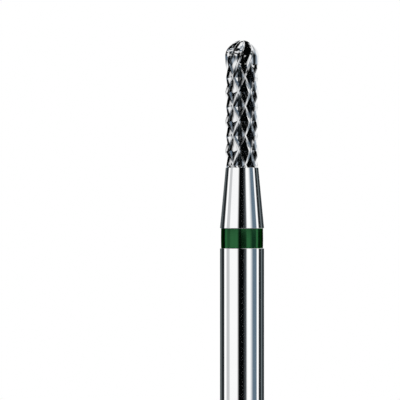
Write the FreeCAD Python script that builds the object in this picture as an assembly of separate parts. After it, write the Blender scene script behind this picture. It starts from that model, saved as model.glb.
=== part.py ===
import FreeCAD
import Part
import math
import os

# Cross-cut laboratory bur for a straight handpiece, in millimetres.
# It stands on the flat end of its shank: the axis is +Z and the origin is the centre of that end.
# A toothed carbide head is brazed face to face on the tapered neck of a steel shank.
# A coloured enamel band lies in a groove turned between the neck and the plain shank.

# Overall length and the straight shank
OVERALL_LENGTH = 44.5
SHANK_DIA = 2.35
SHANK_END_CHAMFER = 0.2

# Neck, a straight taper from the band up to the head
NECK_LENGTH = 3.23
NECK_TIP_DIA = 1.74

# Coloured band, slightly fuller at its middle, in its groove
BAND_WIDTH = 1.06
BAND_GROOVE_DEPTH = 0.18
BAND_EDGE_STEP = 0.055
BAND_CROWN = 0.008

# Head, a cylinder with a round nose that ends in a small flat
HEAD_LENGTH = 6.8
HEAD_DIA = 1.8
NOSE_FLAT_DIA = 0.12

# Main flutes, right hand, from the neck over the nose to its tip
FLUTE_COUNT = 6
FLUTE_LEAD = 9.6
FLUTE_DEPTH = 0.25
RAKE_SHARE = 0.37

# Cross cuts, left hand, along the cylinder only
CROSS_CUT_COUNT = 6
CROSS_CUT_LEAD = 9.1
CROSS_CUT_DEPTH = 0.235
CROSS_CUT_STEEP_SHARE = 0.37
CROSS_CUT_RUN_OUT = 0.5
CROSS_CUT_PAST_NOSE = 0.3

# Narrow land left on every cutting edge
LAND_WIDTH = 0.025

# One place where a flute and a cross cut meet: below the nose tip, and round from +X
CROSSING_BELOW_TIP = 4.3
CROSSING_AZIMUTH = math.radians(-46.3)

# How closely the sections of the head follow each other, and how far its cutters overrun
SECTION_SPACING = 0.5
NOSE_SECTIONS = 8
CUTTER_OVERRUN = 0.3
FLANK_OVERRUN = 1.4

# Places worked out from the sizes above
SHANK_RADIUS = SHANK_DIA / 2
HEAD_RADIUS = HEAD_DIA / 2
HEAD_BASE = OVERALL_LENGTH - HEAD_LENGTH
BAND_TOP = HEAD_BASE - NECK_LENGTH
BAND_BOTTOM = BAND_TOP - BAND_WIDTH
GROOVE_RADIUS = SHANK_RADIUS - BAND_GROOVE_DEPTH
NOSE_ANGLE = math.acos(NOSE_FLAT_DIA / HEAD_DIA)
NOSE_BASE = OVERALL_LENGTH - HEAD_RADIUS * math.sin(NOSE_ANGLE)
CROSSING_HEIGHT = OVERALL_LENGTH - CROSSING_BELOW_TIP

AXIS_FOOT = FreeCAD.Vector(0, 0, 0)
AXIS = FreeCAD.Vector(0, 0, 1)


def turned(edges):
    """Solid of revolution about the axis of a closed profile of edges in the XZ plane."""
    return Part.Face(Part.Wire(edges)).revolve(AXIS_FOOT, AXIS, 360)


def profile_edges(corners):
    """Straight edges through (radius, height) corners."""
    points = [FreeCAD.Vector(radius, 0, height) for radius, height in corners]
    return Part.makePolygon(points).Edges


def shank():
    """Plain shank with a chamfered end, the band's groove and the tapered neck, turned in one."""
    return turned(profile_edges([
        (0, 0),
        (SHANK_RADIUS - SHANK_END_CHAMFER, 0),
        (SHANK_RADIUS, SHANK_END_CHAMFER),
        (SHANK_RADIUS, BAND_BOTTOM),
        (GROOVE_RADIUS, BAND_BOTTOM),
        (GROOVE_RADIUS, BAND_TOP),
        (SHANK_RADIUS, BAND_TOP),
        (NECK_TIP_DIA / 2, HEAD_BASE),
        (0, HEAD_BASE),
        (0, 0),
    ]))


def colour_band():
    """Enamel band that fills the groove to just under the shank, with a crowned outside."""
    edge_radius = SHANK_RADIUS - BAND_EDGE_STEP
    middle = (BAND_BOTTOM + BAND_TOP) / 2
    crown = Part.Arc(
        FreeCAD.Vector(edge_radius, 0, BAND_BOTTOM),
        FreeCAD.Vector(edge_radius + BAND_CROWN, 0, middle),
        FreeCAD.Vector(edge_radius, 0, BAND_TOP),
    )
    inside = profile_edges([
        (edge_radius, BAND_TOP),
        (GROOVE_RADIUS, BAND_TOP),
        (GROOVE_RADIUS, BAND_BOTTOM),
        (edge_radius, BAND_BOTTOM),
    ])
    return turned([crown.toShape()] + inside)


def heights(bottom, top):
    """Evenly spaced section heights from bottom to top, no further apart than the spacing."""
    steps = math.ceil((top - bottom) / SECTION_SPACING)
    return [bottom + (top - bottom) * i / steps for i in range(steps + 1)]


def polar(radius, azimuth, height):
    """Point at a radius and azimuth round the axis."""
    return FreeCAD.Vector(radius * math.cos(azimuth), radius * math.sin(azimuth), height)


def helix_azimuth(height, lead):
    """Azimuth at a height of the groove through the crossing; a negative lead is left hand."""
    return CROSSING_AZIMUTH + 2 * math.pi * (height - CROSSING_HEIGHT) / lead


def flank_spans(count, steep_share):
    """Angles from a groove's floor back to its steep edge and on to its gentle edge."""
    span = 2 * math.pi / count - LAND_WIDTH / HEAD_RADIUS
    return span * steep_share, span * (1 - steep_share)


def fluted_section(height, scale):
    """Star-shaped outline of the fluted head at one height."""
    steep, gentle = flank_spans(FLUTE_COUNT, RAKE_SHARE)
    crest = HEAD_RADIUS * scale
    floor = (HEAD_RADIUS - FLUTE_DEPTH) * scale
    corners = []
    for i in range(FLUTE_COUNT):
        azimuth = helix_azimuth(height, FLUTE_LEAD) + 2 * math.pi * i / FLUTE_COUNT
        corners.append(polar(crest, azimuth - steep, height))
        corners.append(polar(floor, azimuth, height))
        corners.append(polar(crest, azimuth + gentle, height))
    return Part.makePolygon(corners + corners[:1])


def fluted_blank():
    """Head with its main flutes only: sections up the cylinder, then shrinking over the nose."""
    sections = [fluted_section(height, 1) for height in heights(HEAD_BASE, NOSE_BASE)]
    for i in range(1, NOSE_SECTIONS + 1):
        angle = NOSE_ANGLE * i / NOSE_SECTIONS
        height = NOSE_BASE + HEAD_RADIUS * math.sin(angle)
        sections.append(fluted_section(height, math.cos(angle)))
    return Part.makeLoft(sections, True)


def cross_cut_section(height, lift):
    """Outline of the wheel that grinds a cross cut, drawn back from the head by the lift."""
    steep, gentle = flank_spans(CROSS_CUT_COUNT, CROSS_CUT_STEEP_SHARE)
    azimuth = helix_azimuth(height, -CROSS_CUT_LEAD)
    floor = polar(HEAD_RADIUS - CROSS_CUT_DEPTH + lift, azimuth, height)
    steep_edge = polar(HEAD_RADIUS + lift, azimuth - steep, height)
    gentle_edge = polar(HEAD_RADIUS + lift, azimuth + gentle, height)
    return Part.makePolygon([
        floor,
        floor + (gentle_edge - floor) * FLANK_OVERRUN,
        polar(HEAD_DIA, azimuth, height),
        floor + (steep_edge - floor) * FLANK_OVERRUN,
        floor,
    ])


def cross_cut():
    """Sweep of the grinding wheel up one cross cut, lifting clear where the nose begins."""
    top = NOSE_BASE + CROSS_CUT_PAST_NOSE
    sections = []
    for height in heights(HEAD_BASE - CUTTER_OVERRUN, top):
        run_out = max(0, 1 - (top - height) / CROSS_CUT_RUN_OUT)
        sections.append(cross_cut_section(height, CROSS_CUT_DEPTH * run_out ** 2))
    return Part.makeLoft(sections, True)


def cutting_head():
    """Fluted head with the cross cuts that part its edges into pointed teeth."""
    head = fluted_blank()
    cutter = cross_cut()
    for i in range(CROSS_CUT_COUNT):
        turn = 360 * i / CROSS_CUT_COUNT
        head = head.cut(cutter.rotated(AXIS_FOOT, AXIS, turn))
    return head


def main():
    os.makedirs("parts", exist_ok=True)
    for name, shape in {
        "shank": shank(),
        "colour_band": colour_band(),
        "cutting_head": cutting_head(),
    }.items():
        shape.exportStep(f"parts/{name}.step")


main()
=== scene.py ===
import math

import bmesh
import bpy
from mathutils import Matrix, Vector


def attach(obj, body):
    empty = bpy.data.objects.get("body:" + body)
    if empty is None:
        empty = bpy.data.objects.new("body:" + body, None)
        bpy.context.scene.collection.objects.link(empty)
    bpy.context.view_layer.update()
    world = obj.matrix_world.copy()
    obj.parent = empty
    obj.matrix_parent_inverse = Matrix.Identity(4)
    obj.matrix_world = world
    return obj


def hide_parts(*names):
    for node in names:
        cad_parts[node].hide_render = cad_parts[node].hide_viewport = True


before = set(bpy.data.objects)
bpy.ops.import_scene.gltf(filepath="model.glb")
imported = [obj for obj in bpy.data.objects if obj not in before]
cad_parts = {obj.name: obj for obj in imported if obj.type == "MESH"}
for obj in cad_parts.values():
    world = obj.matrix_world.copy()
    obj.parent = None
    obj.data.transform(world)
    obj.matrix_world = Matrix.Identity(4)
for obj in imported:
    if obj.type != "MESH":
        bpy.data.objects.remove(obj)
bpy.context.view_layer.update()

# Cross-cut laboratory bur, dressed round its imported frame. The axis is +Z and the shank's end is at the origin.
# Sizes are in millimetres, where nothing else is said, and MM scales them to the frame's metres.
MM = 0.001

# Sizes of the bur
OVERALL_LENGTH = 44.5
SHANK_RADIUS = 1.175
SHANK_END_CHAMFER = 0.2
HEAD_LENGTH = 6.8
HEAD_RADIUS = 0.9
NOSE_FLAT_RADIUS = 0.06
NECK_LENGTH = 3.23
NECK_TIP_RADIUS = 0.87
BAND_WIDTH = 1.06
GROOVE_DEPTH = 0.18
BAND_EDGE_STEP = 0.055
BAND_CROWN = 0.008
HEAD_BASE = OVERALL_LENGTH - HEAD_LENGTH
BAND_TOP = HEAD_BASE - NECK_LENGTH
BAND_BOTTOM = BAND_TOP - BAND_WIDTH
GROOVE_RADIUS = SHANK_RADIUS - GROOVE_DEPTH

# Small rounds that ground and lacquered edges have, with a support point just past either end of each
STEEL_EDGE_ROUND = 0.012
LACQUER_EDGE_ROUND = 0.025
ROUND_STEPS = 6
SUPPORT = 0.004

# Turned surfaces
TURNED_SEGMENTS = 256
TURNED_EDGE_ANGLE = math.radians(35)
ON_AXIS = 1e-6

# Toothing: right-hand flutes crossed by left-hand cuts. Each groove has its lead (negative for left hand), its depth,
# the width of its floor, the land left between it and the next, how far round the pitch that land lies, and how deep
# the middles of its relief and rake flanks lie, as shares of the depth.
GROOVE_COUNT = 6
FLUTES = {
    "lead": 9.5, "depth": 0.192, "floor": 0.12, "land": 0.006,
    "crest": 0.647, "relief_sag": 0.416, "rake_sag": 0.159,
}
CROSS_CUTS = {
    "lead": -9.25, "depth": 0.2, "floor": 0.104, "land": 0.032,
    "crest": 0.618, "relief_sag": 0.324, "rake_sag": 0.534,
}

# What the flutes' profile turns into over the nose, and the heights where that begins and is complete
NOSE_FLUTES = {
    "depth": 0.26, "floor": 0.04, "land": 0.006,
    "crest": 0.5, "relief_sag": 0.5, "rake_sag": 0.42,
}
NOSE_FLUTES_FROM = 42.7
NOSE_FLUTES_FULL = 44

# The cross cuts lift out of the head over this length, where the nose begins
CROSS_CUT_RUN_OUT = 0.6

# One place where a flute and a cross cut meet: below the nose tip, and round from +X
CROSSING_BELOW_TIP = 4.3
CROSSING_AZIMUTH = math.radians(-46.3)
CROSSING_HEIGHT = OVERALL_LENGTH - CROSSING_BELOW_TIP

# The nose as an angle round its centre, from its widest section to the small flat at its tip
NOSE_ANGLE = math.acos(NOSE_FLAT_RADIUS / HEAD_RADIUS)
NOSE_BASE = OVERALL_LENGTH - HEAD_RADIUS * math.sin(NOSE_ANGLE)

# How fine the head's mesh is, how far its cutters overrun, and from which angle an edge of it is sharp
SECTION_SPACING = 0.05
FLANK_STEPS = 4
NOSE_SECTIONS = 32
CUTTER_OVERRUN = 0.3
FLANK_OVERRUN = 1.5
FLANK_EDGE_ANGLE = math.radians(12)

# Surfaces: two colours that each is mottled between, its range of roughness, and its bump's distance in metres and
# strength. Below them the scales, per metre, and the detail of the noises that vary them.
STEEL = {
    "colours": ((0.78, 0.785, 0.79), (0.82, 0.823, 0.826)),
    "roughness": (0.03, 0.06),
    "bump": (1e-6, 0.08),
}
STEEL_RINGS = ((300, 300, 60000), 3)
STEEL_HAZE = ((400, 400, 900), 4)

LACQUER = {
    "colours": ((0.02, 0.098, 0.034), (0.024, 0.11, 0.04)),
    "roughness": (0.08, 0.16),
    "bump": (2e-6, 0.2),
}
LACQUER_EDGE_TINT = (0.1, 0.5, 0.2)
LACQUER_CLOUDS = ((900, 900, 1500), 3)
LACQUER_SPECKS = ((30000, 30000, 30000), 2)

CARBIDE = {
    "colours": ((0.60, 0.61, 0.62), (0.72, 0.725, 0.73)),
    "roughness": (0.05, 0.1),
    "bump": (1e-6, 0.04),
}
CARBIDE_GRAIN = ((9000, 9000, 9000), 3)
WHEEL_MARKS_ACROSS = 70000
WHEEL_MARKS_ALONG = 2500
WHEEL_MARK_DETAIL = 3
FLUTE_HELIX = math.radians(-30.5)
CROSS_CUT_HELIX = math.radians(31.8)

# Softboxes that polished metal shows in the dark room, later ones in front of earlier ones. Each has its azimuths from
# and to (0 towards the camera, + to its right), the softness of its sides, its elevations from and to, the softness of
# its ends, and its colour. Angles are in degrees. The first four stand for the floor, which is hidden from reflections.
BLACK = (0.0014, 0.0018, 0.002)
SLATE = (0.02, 0.027, 0.031)
BLUE = (0.15, 0.21, 0.28)
GREY = (0.45, 0.52, 0.6)
PALE = (0.85, 0.87, 0.88)
WHITE = (1.3, 1.3, 1.3)
DARK_ROOM = BLACK
STUDIO_CARDS = (
    (-180, 180, 4, -90, -52, 8, (0.42, 0.43, 0.44)),
    (-30, 30, 20, -90, -60, 8, (0.06, 0.07, 0.08)),
    (60, 120, 20, -90, -60, 8, (0.9, 0.9, 0.9)),
    (-150, -110, 15, -90, -60, 8, (0.1, 0.12, 0.13)),
    (34, 106, 2, 9, 55, 2, GREY),
    (-141, -45, 6, -21, -6, 2, WHITE),
    (73, 152, 10, -48, 9, 7, PALE),
    (99, 197, 3, -16, 37, 7, WHITE),
    (48, 80, 3, 17, 44, 3, SLATE),
    (-4, 43, 7, 32, 49, 2, WHITE),
    (-117, -86, 5, -66, -17, 2, WHITE),
    (-24, 40, 5, -49, -39, 4, WHITE),
    (61, 134, 3, -40, -21, 2, BLACK),
    (-156, -79, 2, -22, -2, 2, BLUE),
    (-130, -106, 6, 20, 49, 4, WHITE),
    (-61, -16, 2, -18, 15, 3, SLATE),
    (2, 48, 5, -45, -21, 5, BLUE),
    (-42, 40, 9, -38, -28, 2, BLACK),
    (-162, -118, 3, 46, 73, 2, WHITE),
    (-53, -34, 2, 31, 43, 2, WHITE),
    (30, 145, 9, 42, 77, 6, WHITE),
    (2, 59, 4, 14, 23, 3, BLACK),
    (31, 54, 7, -56, -33, 7, BLACK),
    (58, 100, 9, -9, 13, 2, WHITE),
    (-101, -31, 6, 6, 16, 2, GREY),
    (-5, 28, 3, -11, 10, 4, WHITE),
    (-66, -45, 3, 7, 22, 4, BLACK),
    (26, 59, 7, -38, -28, 2, WHITE),
    (65, 87, 4, 27, 34, 3, BLACK),
    (-79, 5, 10, 34, 51, 3, BLACK),
    (19, 39, 3, -29, -4, 3, BLACK),
    (-36, -13, 8, -16, 6, 2, GREY),
)

# Two narrow rows of upright cards in front of them, which the shank and the tapered neck show as stripes: how high each
# row bows up towards the camera, its elevations from and to, and its softness. Both rows hold the same cards: their
# azimuths from and to, the softness of the left and of the right side, and their colour.
STRIPE_ROWS = (
    (0, -4.4, 1.8, 1),
    (10.8, -1.8, 1.8, 1),
)
STRIPES = (
    (-172, -131, 5, 4, (0.12, 0.14, 0.145)),
    (-131, -107, 3, 3, (0.02, 0.025, 0.028)),
    (-107, -88, 3, 3, (1.25, 1.25, 1.25)),
    (-89, -66, 3, 3, (0.69, 0.7, 0.71)),
    (-69, -22, 3, 6, (1.18, 1.18, 1.18)),
    (12, 30, 7, 3, (0.08, 0.09, 0.1)),
    (24, 60, 5, 6, (1.25, 1.25, 1.25)),
    (51, 90, 12, 3, (0.145, 0.215, 0.285)),
    (83, 98, 3, 3, (1.25, 1.25, 1.25)),
    (98, 119, 3, 3, (0.02, 0.025, 0.028)),
    (119, 130, 4, 4, (0.2, 0.24, 0.25)),
    (130, 172, 4, 5, (0.035, 0.045, 0.05)),
    (177, 183, 2, 2, (1, 1, 1)),
)

# The even light of the world on everything that isn't polished, and what the camera itself sees of it
ROOM_LIGHT = (0.9, 0.9, 0.9)
BACKDROP = (1, 1, 1)

# Floor and lamp, in metres and watts
FLOOR_RADIUS = 0.3
FLOOR_SEGMENTS = 128
FLOOR_COLOUR = (0.9, 0.9, 0.9)
FLOOR_ROUGHNESS = 0.9
LAMP_DIAMETER = 0.12
LAMP_POWER = 0.08
LAMP_PLACE = (-0.12, -0.14, 0.2)
LAMP_AIM = (0, 0, 0.02)

# Camera of the photograph: level with the neck, with the working end and part of the shank in view
VIEW_WIDTH = 21.32
VIEW_CENTRE_X = -2.24
VIEW_CENTRE_Z = 35.98
CAMERA_LENS = 500.0
CAMERA_SENSOR = 36.0


def to_mesh_object(name, vertices, faces):
    """Object from vertices and faces."""
    mesh = bpy.data.meshes.new(name)
    mesh.from_pydata(vertices, [], faces)
    mesh.update()
    piece = bpy.data.objects.new(name, mesh)
    bpy.context.scene.collection.objects.link(piece)
    return piece


# ---- turned pieces ----

def rounded(corners):
    """Profile through (radius, height, round) corners, with arcs and support points at the rounds."""
    points = []
    count = len(corners)
    for i, (radius, height, fillet) in enumerate(corners):
        corner = Vector((radius, height))
        if fillet == 0:
            points.append(corner)
            continue
        before = (Vector(corners[i - 1][:2]) - corner).normalized()
        after = (Vector(corners[(i + 1) % count][:2]) - corner).normalized()
        half = before.angle(after) / 2
        reach = fillet / math.tan(half)
        centre = corner + (before + after).normalized() * fillet / math.sin(half)
        start = corner + before * reach
        end = corner + after * reach
        points.append(start + before * SUPPORT)
        for step in range(ROUND_STEPS + 1):
            share = step / ROUND_STEPS
            chord = start.lerp(end, share) - centre
            points.append(centre + chord.normalized() * fillet)
        points.append(end + after * SUPPORT)
    return points


def turned(name, profile, closed):
    """Smooth surface of revolution about +Z of a (radius, height) profile."""
    vertices = []
    rings = []
    for radius, height in profile:
        if radius < ON_AXIS:
            rings.append([len(vertices)])
            vertices.append((0, 0, height))
            continue
        rings.append(list(range(len(vertices), len(vertices) + TURNED_SEGMENTS)))
        for i in range(TURNED_SEGMENTS):
            azimuth = 2 * math.pi * i / TURNED_SEGMENTS
            vertices.append((radius * math.cos(azimuth), radius * math.sin(azimuth), height))
    pairs = list(zip(rings, rings[1:]))
    if closed:
        pairs.append((rings[-1], rings[0]))
    faces = []
    for lower, upper in pairs:
        for i in range(TURNED_SEGMENTS):
            j = (i + 1) % TURNED_SEGMENTS
            if len(lower) == 1:
                faces.append((lower[0], upper[j], upper[i]))
            elif len(upper) == 1:
                faces.append((lower[i], lower[j], upper[0]))
            else:
                faces.append((lower[i], lower[j], upper[j], upper[i]))
    piece = to_mesh_object(name, [Vector(vertex) * MM for vertex in vertices], faces)
    piece.data.shade_smooth()
    piece.data.set_sharp_from_angle(angle=TURNED_EDGE_ANGLE)
    return piece


def make_shank():
    """Shank, groove and neck with the small rounds of a ground surface."""
    return turned("shank_ground", rounded([
        (0, 0, 0),
        (SHANK_RADIUS - SHANK_END_CHAMFER, 0, STEEL_EDGE_ROUND),
        (SHANK_RADIUS, SHANK_END_CHAMFER, STEEL_EDGE_ROUND),
        (SHANK_RADIUS, BAND_BOTTOM, STEEL_EDGE_ROUND),
        (GROOVE_RADIUS, BAND_BOTTOM, 0),
        (GROOVE_RADIUS, BAND_TOP, 0),
        (SHANK_RADIUS, BAND_TOP, STEEL_EDGE_ROUND),
        (NECK_TIP_RADIUS, HEAD_BASE, 0),
        (0, HEAD_BASE, 0),
    ]), closed=False)


def make_band():
    """Lacquer in the groove, crowned and drawn down at both edges."""
    edge_radius = SHANK_RADIUS - BAND_EDGE_STEP
    middle = (BAND_BOTTOM + BAND_TOP) / 2
    return turned("band_lacquer", rounded([
        (GROOVE_RADIUS, BAND_BOTTOM, 0),
        (edge_radius, BAND_BOTTOM, LACQUER_EDGE_ROUND),
        (edge_radius + BAND_CROWN, middle, 0),
        (edge_radius, BAND_TOP, LACQUER_EDGE_ROUND),
        (GROOVE_RADIUS, BAND_TOP, 0),
    ]), closed=True)


# ---- toothed head ----

def polar(radius, azimuth, height):
    """Point at a radius and azimuth round the axis."""
    return Vector((radius * math.cos(azimuth), radius * math.sin(azimuth), height))


def helix_azimuth(height, lead):
    """Azimuth at a height of the groove through the crossing; a negative lead is left hand."""
    return CROSSING_AZIMUTH + 2 * math.pi * (height - CROSSING_HEIGHT) / lead


def groove_profile(groove):
    """(angle, depth) corners of one groove, from the land before it to the land after it."""
    pitch = 2 * math.pi / GROOVE_COUNT
    half_floor = groove["floor"] / HEAD_RADIUS / 2
    half_land = groove["land"] / HEAD_RADIUS / 2
    land_after = pitch * groove["crest"] - half_land
    land_before = land_after + 2 * half_land - pitch
    knees = [
        (land_before, 0),
        ((land_before - half_floor) / 2, groove["rake_sag"]),
        (-half_floor, 1),
        (half_floor, 1),
        ((land_after + half_floor) / 2, groove["relief_sag"]),
        (land_after, 0),
    ]
    corners = []
    for (start, start_depth), (end, end_depth) in zip(knees, knees[1:]):
        for i in range(FLANK_STEPS):
            share = i / FLANK_STEPS
            corners.append((
                start + (end - start) * share,
                start_depth + (end_depth - start_depth) * share,
            ))
    corners.append(knees[-1])
    return [(angle, depth * groove["depth"]) for angle, depth in corners]


def fluted_section(height, scale):
    """Star-shaped outline of the fluted head at one height; the flutes grow even-sided over the nose."""
    share = min(1, max(0, (height - NOSE_FLUTES_FROM) / (NOSE_FLUTES_FULL - NOSE_FLUTES_FROM)))
    share *= share * (3 - 2 * share)
    profile = groove_profile({
        size: FLUTES[size] + (on_nose - FLUTES[size]) * share
        for size, on_nose in NOSE_FLUTES.items()
    })
    corners = []
    for i in range(GROOVE_COUNT):
        azimuth = helix_azimuth(height, FLUTES["lead"]) + 2 * math.pi * i / GROOVE_COUNT
        for angle, depth in profile:
            corners.append(polar((HEAD_RADIUS - depth) * scale, azimuth + angle, height))
    return corners


def lofted(name, sections, material_index):
    """Closed mesh in millimetres through sections of equal corner count, with flat ends."""
    count = len(sections[0])
    vertices = [corner for section in sections for corner in section]
    faces = [tuple(reversed(range(count)))]
    for row in range(len(sections) - 1):
        for i in range(count):
            a = row * count + i
            b = row * count + (i + 1) % count
            faces.append((a, b, b + count))
            faces.append((a, b + count, a + count))
    last = (len(sections) - 1) * count
    faces.append(tuple(range(last, last + count)))
    loft = to_mesh_object(name, vertices, faces)
    for _ in range(material_index + 1):
        loft.data.materials.append(None)
    loft.data.polygons.foreach_set("material_index", [material_index] * len(faces))
    return loft


def heights(bottom, top):
    """Evenly spaced section heights from bottom to top."""
    steps = math.ceil((top - bottom) / SECTION_SPACING)
    return [bottom + (top - bottom) * i / steps for i in range(steps + 1)]


def cross_cut_section(height, lift, turn):
    """Outline of the grinding wheel's path at one height, drawn back from the head by the lift."""
    azimuth = helix_azimuth(height, CROSS_CUTS["lead"]) + turn
    flanks = [
        polar(HEAD_RADIUS - depth + lift, azimuth + angle, height)
        for angle, depth in reversed(groove_profile(CROSS_CUTS))
    ]
    return flanks + [
        flanks[-1] + (flanks[-1] - flanks[-2]) * FLANK_OVERRUN,
        polar(2 * HEAD_RADIUS, azimuth, height),
        flanks[0] + (flanks[0] - flanks[1]) * FLANK_OVERRUN,
    ]


def cross_cutter(index):
    """Closed mesh of what one cross cut takes away."""
    turn = 2 * math.pi * index / GROOVE_COUNT
    sections = []
    for height in heights(HEAD_BASE - CUTTER_OVERRUN, NOSE_BASE):
        run_out = max(0, 1 - (NOSE_BASE - height) / CROSS_CUT_RUN_OUT)
        sections.append(cross_cut_section(height, CROSS_CUTS["depth"] * run_out ** 2, turn))
    return lofted(f"cutter_{index}", sections, 1)


def make_head():
    """Fluted blank with the cross cuts taken out of it; their faces take the second material."""
    sections = [fluted_section(height, 1) for height in heights(HEAD_BASE, NOSE_BASE)]
    for i in range(1, NOSE_SECTIONS + 1):
        angle = NOSE_ANGLE * i / NOSE_SECTIONS
        height = NOSE_BASE + HEAD_RADIUS * math.sin(angle)
        sections.append(fluted_section(height, math.cos(angle)))
    blank = lofted("head_toothed", sections, 0)
    cutters = [cross_cutter(i) for i in range(GROOVE_COUNT)]
    for cutter in cutters:
        cut = blank.modifiers.new(cutter.name, "BOOLEAN")
        cut.operation = "DIFFERENCE"
        cut.solver = "EXACT"
        cut.object = cutter
    depsgraph = bpy.context.evaluated_depsgraph_get()
    toothed = bpy.data.meshes.new_from_object(blank.evaluated_get(depsgraph))
    blank.modifiers.clear()
    blank.data = toothed
    for cutter in cutters:
        bpy.data.objects.remove(cutter)
    toothed.transform(Matrix.Scale(MM, 4))
    toothed.shade_smooth()
    toothed.set_sharp_from_angle(angle=FLANK_EDGE_ANGLE)
    return blank


# ---- nodes ----

def set_or_link(tree, value, socket):
    """Give a socket a number, a colour or another node's output."""
    if isinstance(value, (int, float)):
        socket.default_value = value
    elif isinstance(value, tuple):
        socket.default_value = (*value, 1)
    else:
        tree.links.new(value, socket)


def math_node(tree, operation, *values):
    """Result of one operation on numbers or outputs."""
    node = tree.nodes.new("ShaderNodeMath")
    node.operation = operation
    for value, socket in zip(values, node.inputs):
        set_or_link(tree, value, socket)
    return node.outputs[0]


def mixed(tree, share, first, second):
    """The first colour, turning into the second as the share goes from 0 to 1."""
    mix = tree.nodes.new("ShaderNodeMix")
    mix.data_type = "RGBA"
    tree.links.new(share, mix.inputs["Factor"])
    set_or_link(tree, first, mix.inputs["A"])
    set_or_link(tree, second, mix.inputs["B"])
    return mix.outputs["Result"]


def ranged(tree, value, low, high):
    """A 0 to 1 value spread over a new range."""
    spread = tree.nodes.new("ShaderNodeMapRange")
    spread.inputs["To Min"].default_value = low
    spread.inputs["To Max"].default_value = high
    tree.links.new(value, spread.inputs["Value"])
    return spread.outputs["Result"]


def soft_edge(tree, value, outside, inside):
    """0 up to the outside value, 1 from the inside value on, with a smooth rise between."""
    spread = tree.nodes.new("ShaderNodeMapRange")
    spread.interpolation_type = "SMOOTHSTEP"
    spread.inputs["From Min"].default_value = outside
    spread.inputs["From Max"].default_value = inside
    tree.links.new(value, spread.inputs["Value"])
    return spread.outputs["Result"]


# ---- materials ----

def new_material(name):
    """Material with a Principled shader; returns it with its node tree and shader."""
    material = bpy.data.materials.new(name)
    material.use_nodes = True
    return material, material.node_tree, material.node_tree.nodes["Principled BSDF"]


def noise_along(tree, vector, detail):
    """Noise of scale 1 along a vector."""
    noise = tree.nodes.new("ShaderNodeTexNoise")
    noise.inputs["Scale"].default_value = 1
    noise.inputs["Detail"].default_value = detail
    tree.links.new(vector, noise.inputs["Vector"])
    return noise.outputs["Fac"]


def object_noise(tree, scale, detail):
    """Noise in object coordinates, with a scale for each axis."""
    coordinates = tree.nodes.new("ShaderNodeTexCoord")
    mapping = tree.nodes.new("ShaderNodeMapping")
    mapping.inputs["Scale"].default_value = scale
    tree.links.new(coordinates.outputs["Object"], mapping.inputs["Vector"])
    return noise_along(tree, mapping.outputs["Vector"], detail)


def bumped(tree, height, distance, strength):
    """Normals of a surface that a 0 to 1 height raises by a distance."""
    bump = tree.nodes.new("ShaderNodeBump")
    bump.inputs["Distance"].default_value = distance
    bump.inputs["Strength"].default_value = strength
    tree.links.new(height, bump.inputs["Height"])
    return bump.outputs["Normal"]


def make_metallic(tree, shader, look, tone, wear, relief):
    """Polished metal: its colour follows the tone, its roughness the wear and its bump the relief, each 0 to 1."""
    tree.links.new(mixed(tree, tone, *look["colours"]), shader.inputs["Base Color"])
    tree.links.new(ranged(tree, wear, *look["roughness"]), shader.inputs["Roughness"])
    tree.links.new(bumped(tree, relief, *look["bump"]), shader.inputs["Normal"])
    shader.inputs["Metallic"].default_value = 1


def make_steel():
    """Polished steel with fine grinding rings."""
    material, tree, shader = new_material("polished_steel")
    rings = object_noise(tree, *STEEL_RINGS)
    haze = object_noise(tree, *STEEL_HAZE)
    make_metallic(tree, shader, STEEL, haze, rings, rings)
    return material


def make_lacquer():
    """Green lacquer over the bright groove, made as a tinted metal."""
    material, tree, shader = new_material("green_lacquer")
    clouds = object_noise(tree, *LACQUER_CLOUDS)
    specks = object_noise(tree, *LACQUER_SPECKS)
    make_metallic(tree, shader, LACQUER, clouds, specks, clouds)
    shader.inputs["Specular Tint"].default_value = (*LACQUER_EDGE_TINT, 1)
    return material


def make_carbide(name, helix):
    """Ground carbide: fine wheel marks along a groove of the given helix angle."""
    material, tree, shader = new_material(name)
    coordinates = tree.nodes.new("ShaderNodeTexCoord")
    split = tree.nodes.new("ShaderNodeSeparateXYZ")
    tree.links.new(coordinates.outputs["Object"], split.inputs["Vector"])
    azimuth = math_node(tree, "ARCTAN2", split.outputs["Y"], split.outputs["X"])
    unrolled = tree.nodes.new("ShaderNodeCombineXYZ")
    tree.links.new(math_node(tree, "MULTIPLY", azimuth, HEAD_RADIUS * MM), unrolled.inputs["X"])
    tree.links.new(split.outputs["Z"], unrolled.inputs["Y"])
    mapping = tree.nodes.new("ShaderNodeMapping")
    mapping.vector_type = "TEXTURE"
    mapping.inputs["Rotation"].default_value = (0, 0, helix)
    mapping.inputs["Scale"].default_value = (1 / WHEEL_MARKS_ACROSS, 1 / WHEEL_MARKS_ALONG, 1)
    tree.links.new(unrolled.outputs["Vector"], mapping.inputs["Vector"])
    marks = noise_along(tree, mapping.outputs["Vector"], WHEEL_MARK_DETAIL)
    grain = object_noise(tree, *CARBIDE_GRAIN)
    make_metallic(tree, shader, CARBIDE, grain, marks, marks)
    return material


# ---- studio ----

def between_azimuths(tree, azimuth, left, right, left_softness, right_softness):
    """1 between two azimuths, falling softly to 0 on both sides."""
    offset = math_node(tree, "SUBTRACT", azimuth, (left + right) / 2)
    across = math_node(tree, "WRAP", offset, 180, -180)
    reach = (right - left) / 2
    return math_node(
        tree, "MULTIPLY",
        soft_edge(tree, across, -reach - left_softness, -reach + left_softness),
        soft_edge(tree, across, reach + right_softness, reach - right_softness),
    )


def between_elevations(tree, elevation, bottom, top, softness):
    """1 between two elevations, falling softly to 0 on both sides."""
    return math_node(
        tree, "MULTIPLY",
        soft_edge(tree, elevation, bottom - softness, bottom + softness),
        soft_edge(tree, elevation, top + softness, top - softness),
    )


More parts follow.
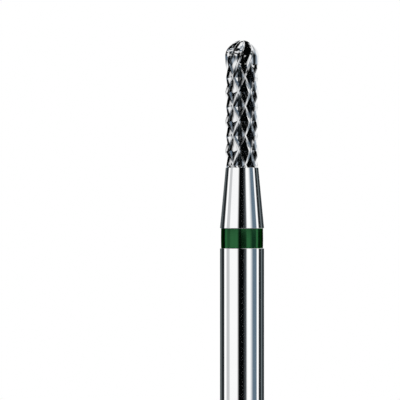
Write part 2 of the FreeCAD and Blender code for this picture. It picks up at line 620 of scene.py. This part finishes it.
def reflected_room(tree):
    """Colour of the dark room with its cards and rows of stripes, in every direction."""
    coordinates = tree.nodes.new("ShaderNodeTexCoord")
    split = tree.nodes.new("ShaderNodeSeparateXYZ")
    tree.links.new(coordinates.outputs["Generated"], split.inputs["Vector"])
    towards = math_node(tree, "MULTIPLY", split.outputs["Y"], -1)
    around = math_node(tree, "ARCTAN2", split.outputs["X"], towards)
    azimuth = math_node(tree, "DEGREES", around)
    elevation = math_node(tree, "DEGREES", math_node(tree, "ARCSINE", split.outputs["Z"]))
    colour = DARK_ROOM
    for left, right, side_softness, bottom, top, end_softness, card in STUDIO_CARDS:
        sides = between_azimuths(tree, azimuth, left, right, side_softness, side_softness)
        ends = between_elevations(tree, elevation, bottom, top, end_softness)
        colour = mixed(tree, math_node(tree, "MULTIPLY", sides, ends), colour, card)
    stripes = DARK_ROOM
    for left, right, left_softness, right_softness, card in STRIPES:
        sides = between_azimuths(tree, azimuth, left, right, left_softness, right_softness)
        stripes = mixed(tree, sides, stripes, card)
    frontness = math_node(tree, "COSINE", math_node(tree, "MULTIPLY", around, 0.5))
    for bow, bottom, top, softness in STRIPE_ROWS:
        level = math_node(tree, "SUBTRACT", elevation, math_node(tree, "MULTIPLY", frontness, bow))
        colour = mixed(tree, between_elevations(tree, level, bottom, top, softness), colour, stripes)
    return colour


def make_world():
    """White to the camera, dark with cards to polished metal, even to everything else."""
    world = bpy.data.worlds.new("studio")
    bpy.context.scene.world = world
    world.use_nodes = True
    world.cycles.sampling_method = "NONE"
    tree = world.node_tree
    rays = tree.nodes.new("ShaderNodeLightPath")
    to_metal = mixed(tree, rays.outputs["Is Glossy Ray"], ROOM_LIGHT, reflected_room(tree))
    to_camera = mixed(tree, rays.outputs["Is Camera Ray"], to_metal, BACKDROP)
    tree.links.new(to_camera, tree.nodes["Background"].inputs["Color"])


def make_floor():
    """Pale round floor."""
    mesh = bpy.data.meshes.new("floor")
    shape = bmesh.new()
    bmesh.ops.create_circle(shape, cap_ends=True, segments=FLOOR_SEGMENTS, radius=FLOOR_RADIUS)
    shape.to_mesh(mesh)
    shape.free()
    floor = bpy.data.objects.new("floor", mesh)
    bpy.context.scene.collection.objects.link(floor)
    material, _, shader = new_material("floor_pale")
    shader.inputs["Base Color"].default_value = (*FLOOR_COLOUR, 1)
    shader.inputs["Roughness"].default_value = FLOOR_ROUGHNESS
    mesh.materials.append(material)
    floor.visible_glossy = False


def make_lamp():
    """Soft lamp above and to the left, for the floor's shadow."""
    light = bpy.data.lights.new("soft_lamp", "AREA")
    light.shape = "DISK"
    light.size = LAMP_DIAMETER
    light.energy = LAMP_POWER
    lamp = bpy.data.objects.new("soft_lamp", light)
    lamp.location = LAMP_PLACE
    lamp.rotation_euler = (Vector(LAMP_AIM) - lamp.location).to_track_quat("-Z", "Y").to_euler()
    lamp.visible_glossy = False
    bpy.context.scene.collection.objects.link(lamp)


def make_camera():
    """Level camera in front of the neck, with the photograph's width of view."""
    data = bpy.data.cameras.new("camera")
    data.lens = CAMERA_LENS
    data.sensor_width = CAMERA_SENSOR
    camera = bpy.data.objects.new("camera", data)
    distance = CAMERA_LENS / CAMERA_SENSOR * VIEW_WIDTH
    camera.location = Vector((VIEW_CENTRE_X, -distance, VIEW_CENTRE_Z)) * MM
    camera.rotation_euler = (math.radians(90), 0, 0)
    bpy.context.scene.collection.objects.link(camera)
    bpy.context.scene.camera = camera


make_camera()
make_world()
make_floor()
make_lamp()
bpy.context.scene.view_settings.view_transform = "Standard"

for piece, node, slot, materials in (
    (make_shank(), "shank", "shank_steel", (make_steel(),)),
    (make_band(), "colour_band", "band_enamel", (make_lacquer(),)),
    (make_head(), "cutting_head", "head_carbide", (
        make_carbide("ground_flutes", FLUTE_HELIX),
        make_carbide("ground_cross_cuts", CROSS_CUT_HELIX),
    )),
):
    piece.data.materials.clear()
    for material in materials:
        piece.data.materials.append(material)
    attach(piece, "root")
    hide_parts(node)
